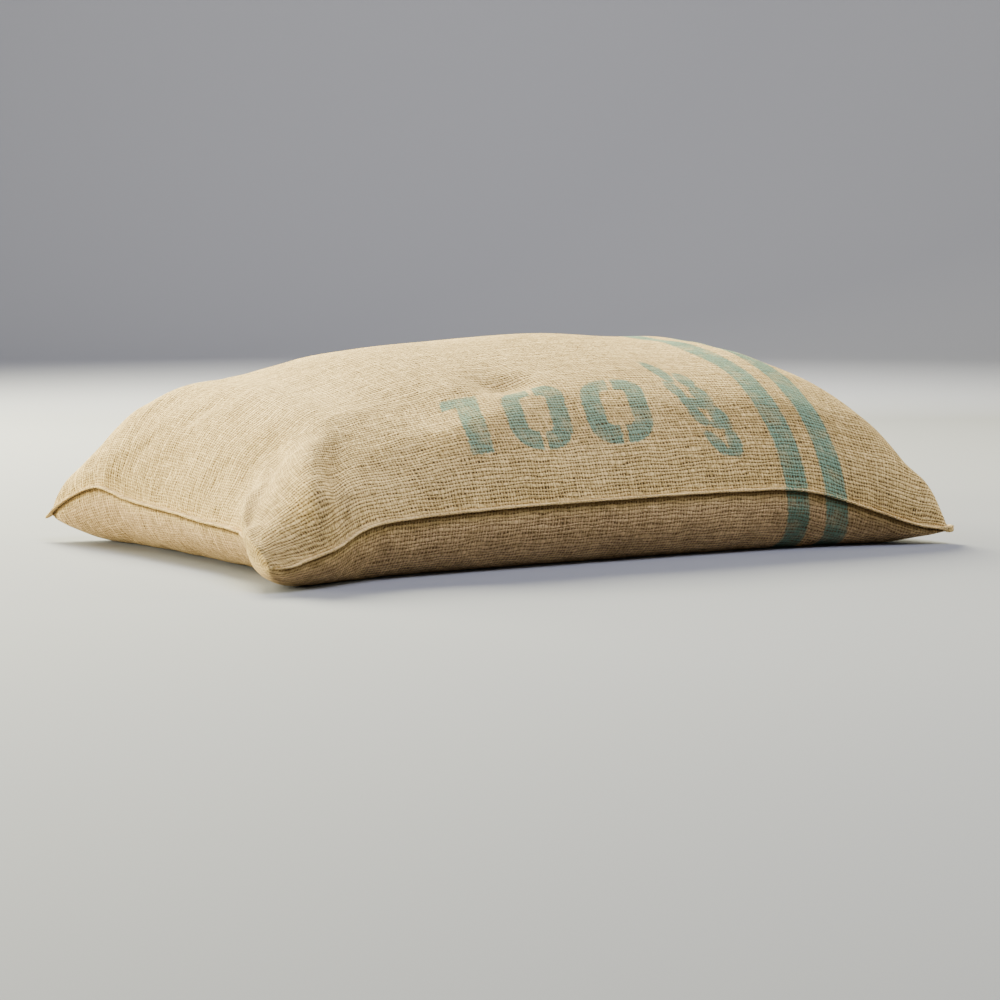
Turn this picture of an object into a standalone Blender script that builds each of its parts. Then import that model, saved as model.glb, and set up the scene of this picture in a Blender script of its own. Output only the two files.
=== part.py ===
"""A burlap sack of grain, filled, sewn shut and lying on its back on a level floor.

Two rectangular jute panels are laid face to face, sewn together round all four sides and filled.
The grain swells them into one pillow-shaped body: `filled_sack`, both panels and what they hold.
Their joined edges stand out of the body as a narrow lip of two layers: `edge_seam`. The lip runs from
the front left corner round the front, right and back sides, and down the left side until it is lost
in the fold of cloth beside the horn.

Frame, in metres: +X along the sack, +Y across it, +Z up, the floor at z = 0, and the origin under
the middle of the sack's box. A place on the cloth is (u, v): u runs from -1 at the left end to +1 at
the right end, and v from -1 at the front side to +1 at the back side.
"""

from collections import namedtuple

import bmesh
import bpy
import numpy as np

# Driving sizes, in metres.
SACK_LENGTH = 0.87  # between the corners at the two ends
SACK_WIDTH = 0.57  # between the corners at the front and the back
LIP_WIDTH = 0.005  # how far the sewn edges stand out of the body
LIP_THICKNESS = 0.0024  # two layers of cloth
LIP_GAP = 0.0003  # clearance between the body and the lip
CORNER_TAB = 0.003  # extra reach of the lip at a corner
LIP_END = -0.66  # place on the left side where the lip is lost in the fold beside the horn

# How the cloth swells between the seams.
END_SQUARENESS = 8  # a high power keeps the crown level until close to the ends
CORNER_FULLNESS = 3  # how blunt the corners are; a higher value fills them more
ON_SEAM = 1e-12  # a share this small counts as nothing, and can still be divided by
FLOOR_INSET_SIDE = 0.045  # from the front or back seam to where the cloth meets the floor
FLOOR_INSET_END = 0.065  # the same, at the two ends

# Facets of each panel along and across the sack.
CELLS_ALONG = 56
CELLS_ACROSS = 36

# The seam on each side: where along the side, how far it is drawn in, and its height, in mm.
SeamStation = namedtuple("SeamStation", "at inward height")
FRONT_SEAM = [
    SeamStation(-1.00, 0, 26),
    SeamStation(-0.95, 2, 27),
    SeamStation(-0.90, 4, 32),
    SeamStation(-0.81, 9, 43),
    SeamStation(-0.74, 17, 57),
    SeamStation(-0.69, 24, 61),
    SeamStation(-0.60, 31, 64),
    SeamStation(-0.40, 35, 68),
    SeamStation(0.00, 38, 71),
    SeamStation(0.40, 36, 72),
    SeamStation(0.52, 34, 71),
    SeamStation(0.62, 31, 65),
    SeamStation(0.74, 23, 49),
    SeamStation(0.82, 17, 37),
    SeamStation(0.90, 10, 25),
    SeamStation(1.00, 0, 17),
]
BACK_SEAM = [
    SeamStation(-1.00, 2, 33),
    SeamStation(-0.92, 5, 37),
    SeamStation(-0.82, 12, 50),
    SeamStation(-0.70, 22, 61),
    SeamStation(-0.45, 31, 66),
    SeamStation(0.00, 37, 70),
    SeamStation(0.45, 35, 66),
    SeamStation(0.66, 27, 56),
    SeamStation(0.82, 16, 39),
    SeamStation(0.92, 7, 27),
    SeamStation(1.00, 0, 20),
]
LEFT_SEAM = [
    SeamStation(-1.00, 0, 26),
    SeamStation(-0.93, -2, 30),
    SeamStation(-0.83, 2, 36),
    SeamStation(-0.73, 12, 41),
    SeamStation(-0.62, 29, 46),
    SeamStation(-0.53, 38, 48),
    SeamStation(-0.43, 40, 49),
    SeamStation(-0.20, 38, 51),
    SeamStation(0.03, 35, 55),
    SeamStation(0.36, 28, 60),
    SeamStation(0.47, 26, 63),
    SeamStation(0.55, 23, 67),
    SeamStation(0.61, 19, 70),
    SeamStation(0.67, 16, 69),
    SeamStation(0.77, 11, 61),
    SeamStation(0.90, 5, 46),
    SeamStation(1.00, 3, 33),
]
RIGHT_SEAM = [
    SeamStation(-1.00, 0, 17),
    SeamStation(-0.90, 4, 25),
    SeamStation(-0.76, 14, 40),
    SeamStation(-0.55, 25, 53),
    SeamStation(-0.20, 34, 60),
    SeamStation(0.10, 36, 62),
    SeamStation(0.40, 32, 60),
    SeamStation(0.64, 22, 52),
    SeamStation(0.80, 12, 38),
    SeamStation(0.92, 3, 26),
    SeamStation(1.00, 0, 20),
]

# The crown along the sack: where, and its height above the level of the seams, in mm.
CrownStation = namedtuple("CrownStation", "at height")
CROWN = [
    CrownStation(-1.00, 76),
    CrownStation(-0.85, 101),
    CrownStation(-0.65, 99),
    CrownStation(-0.40, 119),
    CrownStation(-0.10, 125),
    CrownStation(0.20, 128),
    CrownStation(0.50, 124),
    CrownStation(0.75, 139),
    CrownStation(0.90, 148),
    CrownStation(1.00, 98),
]

# The section across the sack: where, and the share of the crown's height there. The cloth rises
# steeply from the seams, turns over a shoulder, and runs on in a low dome.
SectionStation = namedtuple("SectionStation", "at share")
SECTION = [
    SectionStation(-1.00, 0),
    SectionStation(-0.96, 0.28),
    SectionStation(-0.90, 0.46),
    SectionStation(-0.82, 0.575),
    SectionStation(-0.70, 0.655),
    SectionStation(-0.52, 0.755),
    SectionStation(-0.30, 0.865),
    SectionStation(-0.05, 0.965),
    SectionStation(0.20, 1),
    SectionStation(0.45, 0.95),
    SectionStation(0.66, 0.86),
    SectionStation(0.80, 0.74),
    SectionStation(0.90, 0.56),
    SectionStation(0.96, 0.34),
    SectionStation(1.00, 0),
]

# The horn: the knuckle of cloth at the front left corner, where the upper panel stands out over the
# left seam. It ends in a fold across the left end, beyond which the cloth lies further in.
HORN_REACH = 0.017  # how far it stands out
HORN_OFF_SEAM = 0.013  # how far in from the left seam it stands out most
FOLD_AT = -0.54  # place of the fold along the left side
FOLD_WIDTH = 0.03  # how gently the cloth goes over the fold, as a share of half the side

# Soft troughs in the upper panel: from a place near the seam to where each dies out, and the size
# of its section, in mm. A negative depth is a ridge.
Trough = namedtuple("Trough", "u_from v_from u_to v_to depth half_width")
TROUGHS = [
    Trough(-0.73, -1.00, -0.70, -0.50, 10, 32),
    Trough(-0.95, -0.90, -0.82, -0.50, -8, 34),
    Trough(-0.98, -0.44, -0.80, -0.30, 7, 26),
    Trough(-0.96, 0.62, -0.84, 0.50, 4, 30),
    Trough(0.90, 0.85, 0.66, 0.50, 6, 40),
    Trough(-0.30, -0.58, -0.20, -0.45, 4, 22),
    Trough(0.02, -0.35, -0.10, -0.20, 3, 30),
]
FIRM_WITHIN = 0.022  # the troughs and the horn grow from nothing over this much cloth off the seam

JUTE = (0.50, 0.36, 0.21, 1.0)
JUTE_EDGE = (0.58, 0.44, 0.27, 1.0)
MM = 0.001


def along_table(stations, column, at):
    """A smooth curve through one column of a table, read at the places `at`."""
    places = np.array([row.at for row in stations], float)
    values = np.array([getattr(row, column) for row in stations], float)
    slopes = np.gradient(values, places)
    first = np.clip(np.searchsorted(places, at, side="right") - 1, 0, len(places) - 2)
    span = places[first + 1] - places[first]
    s = (at - places[first]) / span
    return (
        (2 * s**3 - 3 * s**2 + 1) * values[first]
        + (s**3 - 2 * s**2 + s) * span * slopes[first]
        + (3 * s**2 - 2 * s**3) * values[first + 1]
        + (s**3 - s**2) * span * slopes[first + 1]
    )


def seam_sheet(u, v):
    """The sheet stretched across the closed line of the seams, as (x, y, z)."""
    right, back = (u + 1) / 2, (v + 1) / 2
    left, front = 1 - right, 1 - back
    x = u * SACK_LENGTH / 2
    x += MM * along_table(LEFT_SEAM, "inward", v) * left
    x -= MM * along_table(RIGHT_SEAM, "inward", v) * right
    y = v * SACK_WIDTH / 2
    y += MM * along_table(FRONT_SEAM, "inward", u) * front
    y -= MM * along_table(BACK_SEAM, "inward", u) * back
    z = along_table(FRONT_SEAM, "height", u) * front
    z += along_table(BACK_SEAM, "height", u) * back
    z += along_table(LEFT_SEAM, "height", v) * left
    z += along_table(RIGHT_SEAM, "height", v) * right
    z -= front * (left * FRONT_SEAM[0].height + right * FRONT_SEAM[-1].height)
    z -= back * (left * BACK_SEAM[0].height + right * BACK_SEAM[-1].height)
    return np.stack([x, y, z * MM], axis=-1)


def joint_share(lengthways, crossways):
    """One share from two. Where one of them is 1 it is the other; at a corner it is blunt."""
    both = lengthways**-CORNER_FULLNESS + crossways**-CORNER_FULLNESS - 1
    return both ** (-1 / CORNER_FULLNESS)


def swelling(u, v):
    """Share of the crown's height at a place: 0 on the seams and 1 in the middle."""
    lengthways = np.sqrt(np.clip(1 - np.abs(u) ** END_SQUARENESS, ON_SEAM, 1))
    crossways = np.clip(along_table(SECTION, "share", v), ON_SEAM, 1)
    return joint_share(lengthways, crossways)


def crowned(u, v):
    """The upper panel with its crown alone."""
    place = seam_sheet(u, v)
    place[..., 2] += MM * along_table(CROWN, "height", u) * swelling(u, v)
    return place


def outward(u, v):
    """Unit vectors square to the crowned panel, pointing out of the sack."""
    step = 1e-3
    lengthways = crowned(u + step, v) - crowned(u - step, v)
    crossways = crowned(u, v + step) - crowned(u, v - step)
    normal = np.cross(lengthways, crossways)
    return normal / np.linalg.norm(normal, axis=-1, keepdims=True)


def trough_depth(u, v):
    """How far all the troughs together push the upper panel in, in metres."""
    x, y = u * SACK_LENGTH / 2, v * SACK_WIDTH / 2
    depth = np.zeros_like(x)
    for row in TROUGHS:
        start = np.array([row.u_from * SACK_LENGTH / 2, row.v_from * SACK_WIDTH / 2])
        run = np.array([row.u_to * SACK_LENGTH / 2, row.v_to * SACK_WIDTH / 2]) - start
        share = ((x - start[0]) * run[0] + (y - start[1]) * run[1]) / (run @ run)
        nearest = np.clip(share, 0, 1)
        away = np.hypot(x - start[0] - nearest * run[0], y - start[1] - nearest * run[1])
        section = np.exp(-((away / (row.half_width * MM)) ** 2))
        depth += row.depth * MM * section * (1 - nearest**2)
    return depth


def horn_reach(u, v):
    """How far the horn stands out to the left, in metres."""
    off_seam = (1 + u) * SACK_LENGTH / 2 / HORN_OFF_SEAM
    within_fold = 1 / (1 + np.exp((v - FOLD_AT) / FOLD_WIDTH))
    return HORN_REACH * within_fold * off_seam * np.exp(1 - off_seam)


def upper_panel(u, v):
    """The upper panel: the crown, the horn at one corner, and the troughs."""
    place = crowned(u, v)
    off_front = (1 - np.abs(v)) * SACK_WIDTH / 2 / FIRM_WITHIN
    off_end = (1 - np.abs(u)) * SACK_LENGTH / 2 / FIRM_WITHIN
    loose = np.sin(np.clip(off_front, 0, 1) * np.pi / 2)
    place[..., 0] -= horn_reach(u, v) * loose
    loose = loose * np.sin(np.clip(off_end, 0, 1) * np.pi / 2)
    place -= outward(u, v) * (trough_depth(u, v) * loose)[..., None]
    return place


def round_under(off_seam, inset):
    """How far a quarter-round has dropped at a distance in from its seam, as a share of the drop."""
    within = np.clip(off_seam / inset, 0, 1)
    return np.sqrt(np.clip(1 - (1 - within) ** 2, ON_SEAM, 1))


def lower_panel(u, v):
    """The lower panel: rounded under from the seams, and flat where it lies on the floor."""
    place = seam_sheet(u, v)
    lengthways = round_under((1 - np.abs(u)) * SACK_LENGTH / 2, FLOOR_INSET_END)
    crossways = round_under((1 - np.abs(v)) * SACK_WIDTH / 2, FLOOR_INSET_SIDE)
    place[..., 2] *= 1 - joint_share(lengthways, crossways)
    return place


def fabric(name, colour):
    """A rough woven cloth of one colour."""
    material = bpy.data.materials.new(name)
    material.use_nodes = True
    shader = material.node_tree.nodes["Principled BSDF"]
    shader.inputs["Base Color"].default_value = colour
    shader.inputs["Roughness"].default_value = 0.95
    shader.inputs["Metallic"].default_value = 0.0
    return material


def object_from(bm, name, material):
    """Makes the bmesh a smooth-shaded object of the sack's collection."""
    mesh = bpy.data.meshes.new(name)
    bm.to_mesh(mesh)
    bm.free()
    mesh.shade_smooth()
    mesh.materials.append(material)
    made = bpy.data.objects.new(name, mesh)
    bpy.data.collections["burlap_sack"].objects.link(made)
    return made


def add_panel(bm, panel):
    """Adds one flat cut panel to the bmesh and moves its points to the panel's filled shape."""
    cut = bmesh.ops.create_grid(
        bm, x_segments=CELLS_ALONG, y_segments=CELLS_ACROSS, size=1.0
    )["verts"]
    if panel is lower_panel:
        faces = {face for point in cut for face in point.link_faces}
        bmesh.ops.reverse_faces(bm, faces=list(faces))
    flat = np.array([point.co for point in cut], float)
    # The sine sets the rows of facets closer together where the cloth turns over at the seams.
    u, v = np.sin(flat[:, 0] * np.pi / 2), np.sin(flat[:, 1] * np.pi / 2)
    for point, place in zip(cut, panel(u, v)):
        point.co = place


def make_filled_sack():
    """Both panels, sewn edge to edge, with the grain inside as one solid."""
    bm = bmesh.new()
    add_panel(bm, upper_panel)
    add_panel(bm, lower_panel)
    bmesh.ops.remove_doubles(bm, verts=bm.verts, dist=1e-6)
    return object_from(bm, "filled_sack", fabric("jute_cloth", JUTE))


def lip_stations():
    """Places (u, v) along the lip, anticlockwise from the front left corner to where it ends."""
    along = np.sin(np.linspace(-1, 1, CELLS_ALONG + 1) * np.pi / 2)
    across = np.sin(np.linspace(-1, 1, CELLS_ACROSS + 1) * np.pi / 2)
    across_left = -across[-across > LIP_END]
    u = np.concatenate([along[:-1], np.ones(CELLS_ACROSS), -along[:-1], -np.ones_like(across_left)])
    v = np.concatenate([-np.ones(CELLS_ALONG), across[:-1], np.ones(CELLS_ALONG), across_left])
    return u, v


def make_edge_seam():
    """The lip of the two joined edges: a flat ribbon along the seam, thickened by Solidify."""
    u, v = lip_stations()
    seam = seam_sheet(u, v)
    tangent = np.gradient(seam, axis=0)
    outward_of_seam = np.stack([tangent[:, 1], -tangent[:, 0]], axis=-1)
    outward_of_seam /= np.linalg.norm(outward_of_seam, axis=1, keepdims=True)
    turns = np.abs(u) + np.abs(v) > 2 - 1e-9
    turns[0] = False  # the lip starts square at the front left corner
    reach = np.where(turns, LIP_WIDTH + CORNER_TAB, LIP_WIDTH)

    bm = bmesh.new()
    edges = []
    for offset in (np.full(len(u), LIP_GAP), reach):
        flat = seam[:, :2] + outward_of_seam * offset[:, None]
        edges.append([bm.verts.new((x, y, z)) for (x, y), z in zip(flat, seam[:, 2])])
    inner, outer = edges
    for i in range(len(inner) - 1):
        bm.faces.new((inner[i], outer[i], outer[i + 1], inner[i + 1]))
    lip = object_from(bm, "edge_seam", fabric("jute_edge", JUTE_EDGE))
    solidify = lip.modifiers.new("two_layers", "SOLIDIFY")
    solidify.thickness = LIP_THICKNESS
    solidify.offset = 0
    return lip


def centre_on_origin(objects):
    """Moves the sack so that the middle of its box is over the origin."""
    bpy.context.view_layer.update()
    corners = np.array([obj.matrix_world @ point.co for obj in objects for point in obj.data.vertices])
    middle = (corners.min(axis=0) + corners.max(axis=0)) / 2
    for obj in objects:
        obj.location.x -= middle[0]
        obj.location.y -= middle[1]


def main():
    for obj in list(bpy.data.objects):
        bpy.data.objects.remove(obj)
    collection = bpy.data.collections.new("burlap_sack")
    bpy.context.scene.collection.children.link(collection)
    centre_on_origin([make_filled_sack(), make_edge_seam()])


main()
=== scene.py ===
"""A burlap sack of grain, filled, sewn shut and lying flat on a floor."""

from collections import namedtuple
from math import cos, pi, radians, sin

import bpy
import numpy as np
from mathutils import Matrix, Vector


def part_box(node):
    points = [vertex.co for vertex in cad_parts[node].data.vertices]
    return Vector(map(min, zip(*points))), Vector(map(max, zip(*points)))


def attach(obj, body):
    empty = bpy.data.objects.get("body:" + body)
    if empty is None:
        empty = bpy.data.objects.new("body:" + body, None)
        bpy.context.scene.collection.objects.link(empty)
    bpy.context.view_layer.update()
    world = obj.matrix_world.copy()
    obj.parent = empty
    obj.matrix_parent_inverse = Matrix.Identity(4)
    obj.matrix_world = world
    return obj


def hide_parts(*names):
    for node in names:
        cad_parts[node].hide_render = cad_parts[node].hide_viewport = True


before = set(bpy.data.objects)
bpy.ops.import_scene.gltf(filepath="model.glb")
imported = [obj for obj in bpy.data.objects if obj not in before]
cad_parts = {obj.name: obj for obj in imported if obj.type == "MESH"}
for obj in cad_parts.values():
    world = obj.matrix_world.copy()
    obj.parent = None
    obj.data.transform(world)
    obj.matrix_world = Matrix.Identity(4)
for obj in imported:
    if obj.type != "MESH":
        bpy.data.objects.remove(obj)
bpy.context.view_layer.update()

# The filled sack: two rectangles of jute cloth laid face to face, sewn together round all four
# sides and swelled by the grain. The cloth is an open plain weave of hairy, uneven yarn, printed
# with two stripes that run round the sack, a row of numerals and an ear of wheat.

SACK_LENGTH = 0.87  # before the seams are drawn in
SACK_WIDTH = 0.57
END_SQUARENESS = 8  # the higher, the nearer to the ends the crown keeps its height
CORNER_FULLNESS = 3
NEXT_TO_NOTHING = 1e-12  # where nothing itself can't be divided by or raised to a power
FLOOR_INSET_SIDE = 0.045  # from the seam in to where the cloth lies on the floor
FLOOR_INSET_END = 0.065
MM = 0.001

# Each seam: where along its side, how far it is drawn in and its height, in mm.
SeamStation = namedtuple("SeamStation", "at inward height")
FRONT_SEAM = [
    SeamStation(-1.00, 0, 26),
    SeamStation(-0.95, 2, 27),
    SeamStation(-0.90, 4, 32),
    SeamStation(-0.81, 9, 43),
    SeamStation(-0.74, 17, 57),
    SeamStation(-0.69, 24, 61),
    SeamStation(-0.60, 31, 64),
    SeamStation(-0.40, 35, 68),
    SeamStation(0.00, 38, 71),
    SeamStation(0.40, 36, 72),
    SeamStation(0.52, 34, 71),
    SeamStation(0.62, 31, 65),
    SeamStation(0.74, 23, 49),
    SeamStation(0.82, 17, 37),
    SeamStation(0.90, 10, 25),
    SeamStation(1.00, 0, 17),
]
BACK_SEAM = [
    SeamStation(-1.00, 2, 33),
    SeamStation(-0.92, 5, 37),
    SeamStation(-0.82, 12, 50),
    SeamStation(-0.70, 22, 61),
    SeamStation(-0.45, 31, 66),
    SeamStation(0.00, 37, 70),
    SeamStation(0.45, 35, 66),
    SeamStation(0.66, 27, 56),
    SeamStation(0.82, 16, 39),
    SeamStation(0.92, 7, 27),
    SeamStation(1.00, 0, 20),
]
LEFT_SEAM = [
    SeamStation(-1.00, 0, 26),
    SeamStation(-0.93, -2, 30),
    SeamStation(-0.83, 2, 36),
    SeamStation(-0.73, 12, 41),
    SeamStation(-0.62, 29, 46),
    SeamStation(-0.53, 38, 48),
    SeamStation(-0.43, 40, 49),
    SeamStation(-0.20, 38, 51),
    SeamStation(0.03, 35, 55),
    SeamStation(0.36, 28, 60),
    SeamStation(0.47, 26, 63),
    SeamStation(0.55, 23, 67),
    SeamStation(0.61, 19, 70),
    SeamStation(0.67, 16, 69),
    SeamStation(0.77, 11, 61),
    SeamStation(0.90, 5, 46),
    SeamStation(1.00, 3, 33),
]
RIGHT_SEAM = [
    SeamStation(-1.00, 0, 17),
    SeamStation(-0.90, 4, 25),
    SeamStation(-0.76, 14, 40),
    SeamStation(-0.55, 25, 53),
    SeamStation(-0.20, 34, 60),
    SeamStation(0.10, 36, 62),
    SeamStation(0.40, 32, 60),
    SeamStation(0.64, 22, 52),
    SeamStation(0.80, 12, 38),
    SeamStation(0.92, 3, 26),
    SeamStation(1.00, 0, 20),
]

# The crown along the sack, in mm above the level of the seams, and the share of it across the sack.
CrownStation = namedtuple("CrownStation", "at height")
CROWN = [
    CrownStation(-1.00, 76),
    CrownStation(-0.85, 101),
    CrownStation(-0.65, 99),
    CrownStation(-0.40, 119),
    CrownStation(-0.10, 125),
    CrownStation(0.20, 128),
    CrownStation(0.50, 124),
    CrownStation(0.75, 139),
    CrownStation(0.90, 148),
    CrownStation(1.00, 98),
]
SectionStation = namedtuple("SectionStation", "at share")
SECTION = [
    SectionStation(-1.00, 0),
    SectionStation(-0.96, 0.28),
    SectionStation(-0.90, 0.46),
    SectionStation(-0.82, 0.575),
    SectionStation(-0.70, 0.655),
    SectionStation(-0.52, 0.755),
    SectionStation(-0.30, 0.865),
    SectionStation(-0.05, 0.965),
    SectionStation(0.20, 1),
    SectionStation(0.45, 0.95),
    SectionStation(0.66, 0.86),
    SectionStation(0.80, 0.74),
    SectionStation(0.90, 0.56),
    SectionStation(0.96, 0.34),
    SectionStation(1.00, 0),
]

# The horn at the front left corner, and the soft troughs in the cloth. A trough runs between two
# places on the panel and dies out at the second; its depth and half width are in mm, and one with
# less than no depth is a ridge.
HORN_REACH = 0.017
HORN_OFF_SEAM = 0.013
FOLD_AT = -0.54
FOLD_WIDTH = 0.03
Trough = namedtuple("Trough", "u_from v_from u_to v_to depth half_width")
TROUGHS = [
    Trough(-0.69, -0.85, -0.66, -0.48, 13.4, 40),
    Trough(-0.86, -1.00, -0.80, -0.42, -6.9, 27),
    Trough(-1.00, -0.44, -0.84, -0.29, 6.8, 24),
    Trough(-0.96, 0.65, -0.83, 0.52, 5, 34),
    Trough(0.90, 0.85, 0.66, 0.50, 6, 40),
    Trough(-0.30, -0.58, -0.20, -0.45, 4, 22),
    Trough(-0.83, -1.05, -0.79, -0.59, -7.7, 18),
    Trough(-0.93, -0.89, -0.71, -0.71, 12.6, 35),
    Trough(-0.71, -0.98, -0.61, -0.30, -2.4, 21),
    Trough(-0.99, -0.89, -0.87, -0.61, 9.7, 17),
    Trough(-0.23, -0.44, -0.09, -0.27, 2.8, 18),
    Trough(-0.97, -0.08, -0.82, 0.18, -4, 32),
    Trough(-0.53, -0.82, -0.30, -0.55, 11.8, 46),
    Trough(0.72, -0.30, 1.00, -0.92, -5.5, 40),
    Trough(0.58, 0.10, 0.70, -0.02, 4.5, 36),
    Trough(-0.945, 0.875, -0.90, 0.80, 6, 15),
    Trough(-0.85, 0.75, -0.83, 0.71, -2.5, 20),
    Trough(0.975, -0.965, 0.93, -0.89, -3, 11),
    Trough(0.95, -1.01, 0.70, -0.94, -5, 25),
    Trough(-0.07, -0.95, 0.03, -0.80, 6.4, 45),
    Trough(-0.50, -0.53, -0.47, -0.71, 4.6, 40),
    Trough(-0.43, -0.41, -0.57, -0.62, 1.8, 49),
    Trough(-0.21, -0.51, 0.02, -0.43, 1.4, 30),
    Trough(-0.19, -0.525, -0.08, -0.505, 11, 22),
    Trough(-1.00, -0.20, -0.93, -0.20, 3, 22),
]
FIRM_WITHIN = 0.022  # the troughs and the horn grow from nothing over this much cloth


def along_table(stations, column, at):
    """A smooth curve through one column of a table, read at the places `at`."""
    places = np.array([row.at for row in stations], float)
    values = np.array([getattr(row, column) for row in stations], float)
    slopes = np.gradient(values, places)
    first = np.clip(np.searchsorted(places, at, side="right") - 1, 0, len(places) - 2)
    span = places[first + 1] - places[first]
    s = (at - places[first]) / span
    return (
        (2 * s**3 - 3 * s**2 + 1) * values[first]
        + (s**3 - 2 * s**2 + s) * span * slopes[first]
        + (3 * s**2 - 2 * s**3) * values[first + 1]
        + (s**3 - s**2) * span * slopes[first + 1]
    )


def seam_sheet(u, v):
    """The sheet stretched across the closed line of the seams, as (x, y, z)."""
    right, back = (u + 1) / 2, (v + 1) / 2
    left, front = 1 - right, 1 - back
    x = u * SACK_LENGTH / 2
    x += MM * along_table(LEFT_SEAM, "inward", v) * left
    x -= MM * along_table(RIGHT_SEAM, "inward", v) * right
    y = v * SACK_WIDTH / 2
    y += MM * along_table(FRONT_SEAM, "inward", u) * front
    y -= MM * along_table(BACK_SEAM, "inward", u) * back
    z = along_table(FRONT_SEAM, "height", u) * front
    z += along_table(BACK_SEAM, "height", u) * back
    z += along_table(LEFT_SEAM, "height", v) * left
    z += along_table(RIGHT_SEAM, "height", v) * right
    z -= front * (left * FRONT_SEAM[0].height + right * FRONT_SEAM[-1].height)
    z -= back * (left * BACK_SEAM[0].height + right * BACK_SEAM[-1].height)
    return np.stack([x, y, z * MM], axis=-1)


def joint_share(lengthways, crossways):
    """One share from two. Where one of them is 1 it is the other; at a corner it is blunt."""
    both = lengthways**-CORNER_FULLNESS + crossways**-CORNER_FULLNESS - 1
    return both ** (-1 / CORNER_FULLNESS)


def crowned(u, v):
    """The upper panel with its crown alone."""
    lengthways = np.sqrt(np.clip(1 - np.abs(u) ** END_SQUARENESS, NEXT_TO_NOTHING, 1))
    crossways = np.clip(along_table(SECTION, "share", v), NEXT_TO_NOTHING, 1)
    place = seam_sheet(u, v)
    place[..., 2] += MM * along_table(CROWN, "height", u) * joint_share(lengthways, crossways)
    return place


def outward(u, v):
    """Unit vectors square to the crowned panel, pointing out of the sack."""
    step = 1e-3
    lengthways = crowned(u + step, v) - crowned(u - step, v)
    crossways = crowned(u, v + step) - crowned(u, v - step)
    normal = np.cross(lengthways, crossways)
    return normal / np.linalg.norm(normal, axis=-1, keepdims=True)


def trough_depth(u, v):
    """How far all the troughs together push the upper panel in, in metres."""
    x, y = u * SACK_LENGTH / 2, v * SACK_WIDTH / 2
    depth = np.zeros_like(x)
    for row in TROUGHS:
        start = np.array([row.u_from * SACK_LENGTH / 2, row.v_from * SACK_WIDTH / 2])
        run = np.array([row.u_to * SACK_LENGTH / 2, row.v_to * SACK_WIDTH / 2]) - start
        share = ((x - start[0]) * run[0] + (y - start[1]) * run[1]) / (run @ run)
        nearest = np.clip(share, 0, 1)
        away = np.hypot(x - start[0] - nearest * run[0], y - start[1] - nearest * run[1])
        depth += row.depth * MM * np.exp(-((away / (row.half_width * MM)) ** 2)) * (1 - nearest**2)
    return depth


def off_seams(u, v):
    """How loose the cloth is: from 0 on the side and end seams to 1 a little way in from them."""
    from_side = np.clip((1 - np.abs(v)) * SACK_WIDTH / 2 / FIRM_WITHIN, 0, 1)
    from_end = np.clip((1 - np.abs(u)) * SACK_LENGTH / 2 / FIRM_WITHIN, 0, 1)
    return np.sin(from_side * pi / 2), np.sin(from_end * pi / 2)


def upper_panel(u, v):
    """The upper panel: the crown, the horn at one corner, and the troughs."""
    from_side, from_end = off_seams(u, v)
    off_left = (1 + u) * SACK_LENGTH / 2 / HORN_OFF_SEAM
    horn = HORN_REACH / (1 + np.exp((v - FOLD_AT) / FOLD_WIDTH)) * off_left * np.exp(1 - off_left)
    place = crowned(u, v)
    place[..., 0] -= horn * from_side
    place -= outward(u, v) * (trough_depth(u, v) * from_side * from_end)[..., None]
    return place


def round_under(off_seam, inset):
    """How far a quarter-round has dropped at a distance in from its seam: a share of the drop."""
    within = np.clip(off_seam / inset, 0, 1)
    return np.sqrt(np.clip(1 - (1 - within) ** 2, NEXT_TO_NOTHING, 1))


def lower_panel(u, v):
    """The lower panel: rounded under from the seams, and flat where it lies on the floor."""
    place = seam_sheet(u, v)
    lengthways = round_under((1 - np.abs(u)) * SACK_LENGTH / 2, FLOOR_INSET_END)
    crossways = round_under((1 - np.abs(v)) * SACK_WIDTH / 2, FLOOR_INSET_SIDE)
    place[..., 2] *= 1 - joint_share(lengthways, crossways)
    return place


# Each panel starts as a flat grid. The cloth's own measure of it, in metres of cloth, is kept as a
# UV map: s along the sack from its middle, and t across it, on from the upper panel over the back
# seam and round the lower panel.
CELLS_ALONG = 132
CELLS_ACROSS = 88
HALF_CUT_LENGTH = 0.486
CUT_WIDTH = 0.664
LOWER_TUCKED = 0.035  # the cloth of the lower panel that is drawn up along each side seam
EVEN_UP_FROM = 0.72  # towards each end, from here on, the measure is evened up to the cut length
# A second map lays both panels out in one square.
UPPER_ROWS = (0.005, 0.64)
LOWER_ROWS = (0.66, 0.995)
SQUARE_MARGIN = 0.005


def run_along(places, axis):
    """Length of cloth from the first place along one direction of the grid."""
    steps = np.linalg.norm(np.diff(places, axis=axis), axis=-1)
    run = np.cumsum(steps, axis=axis)
    return np.concatenate([np.zeros_like(run.take([0], axis)), run], axis=axis)


def deselect():
    bpy.ops.object.select_all(action="DESELECT")


def pick(*pieces):
    """Selects these pieces and no other, with the first of them active."""
    deselect()
    for piece in pieces:
        piece.select_set(True)
    bpy.context.view_layer.objects.active = pieces[0]


def points_of(piece, what="co"):
    """One vector of each of a piece's points, as an array."""
    flat = np.empty(len(piece.data.vertices) * 3, np.float32)
    piece.data.vertices.foreach_get(what, flat)
    return flat.reshape(-1, 3).astype(float)


def corners_of(piece):
    """The point at each corner of a piece's faces."""
    corners = np.empty(len(piece.data.loops), int)
    piece.data.loops.foreach_get("vertex_index", corners)
    return corners


def move_points(piece, places):
    piece.data.vertices.foreach_set("co", places.astype(np.float32).ravel())
    piece.data.update()


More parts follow.
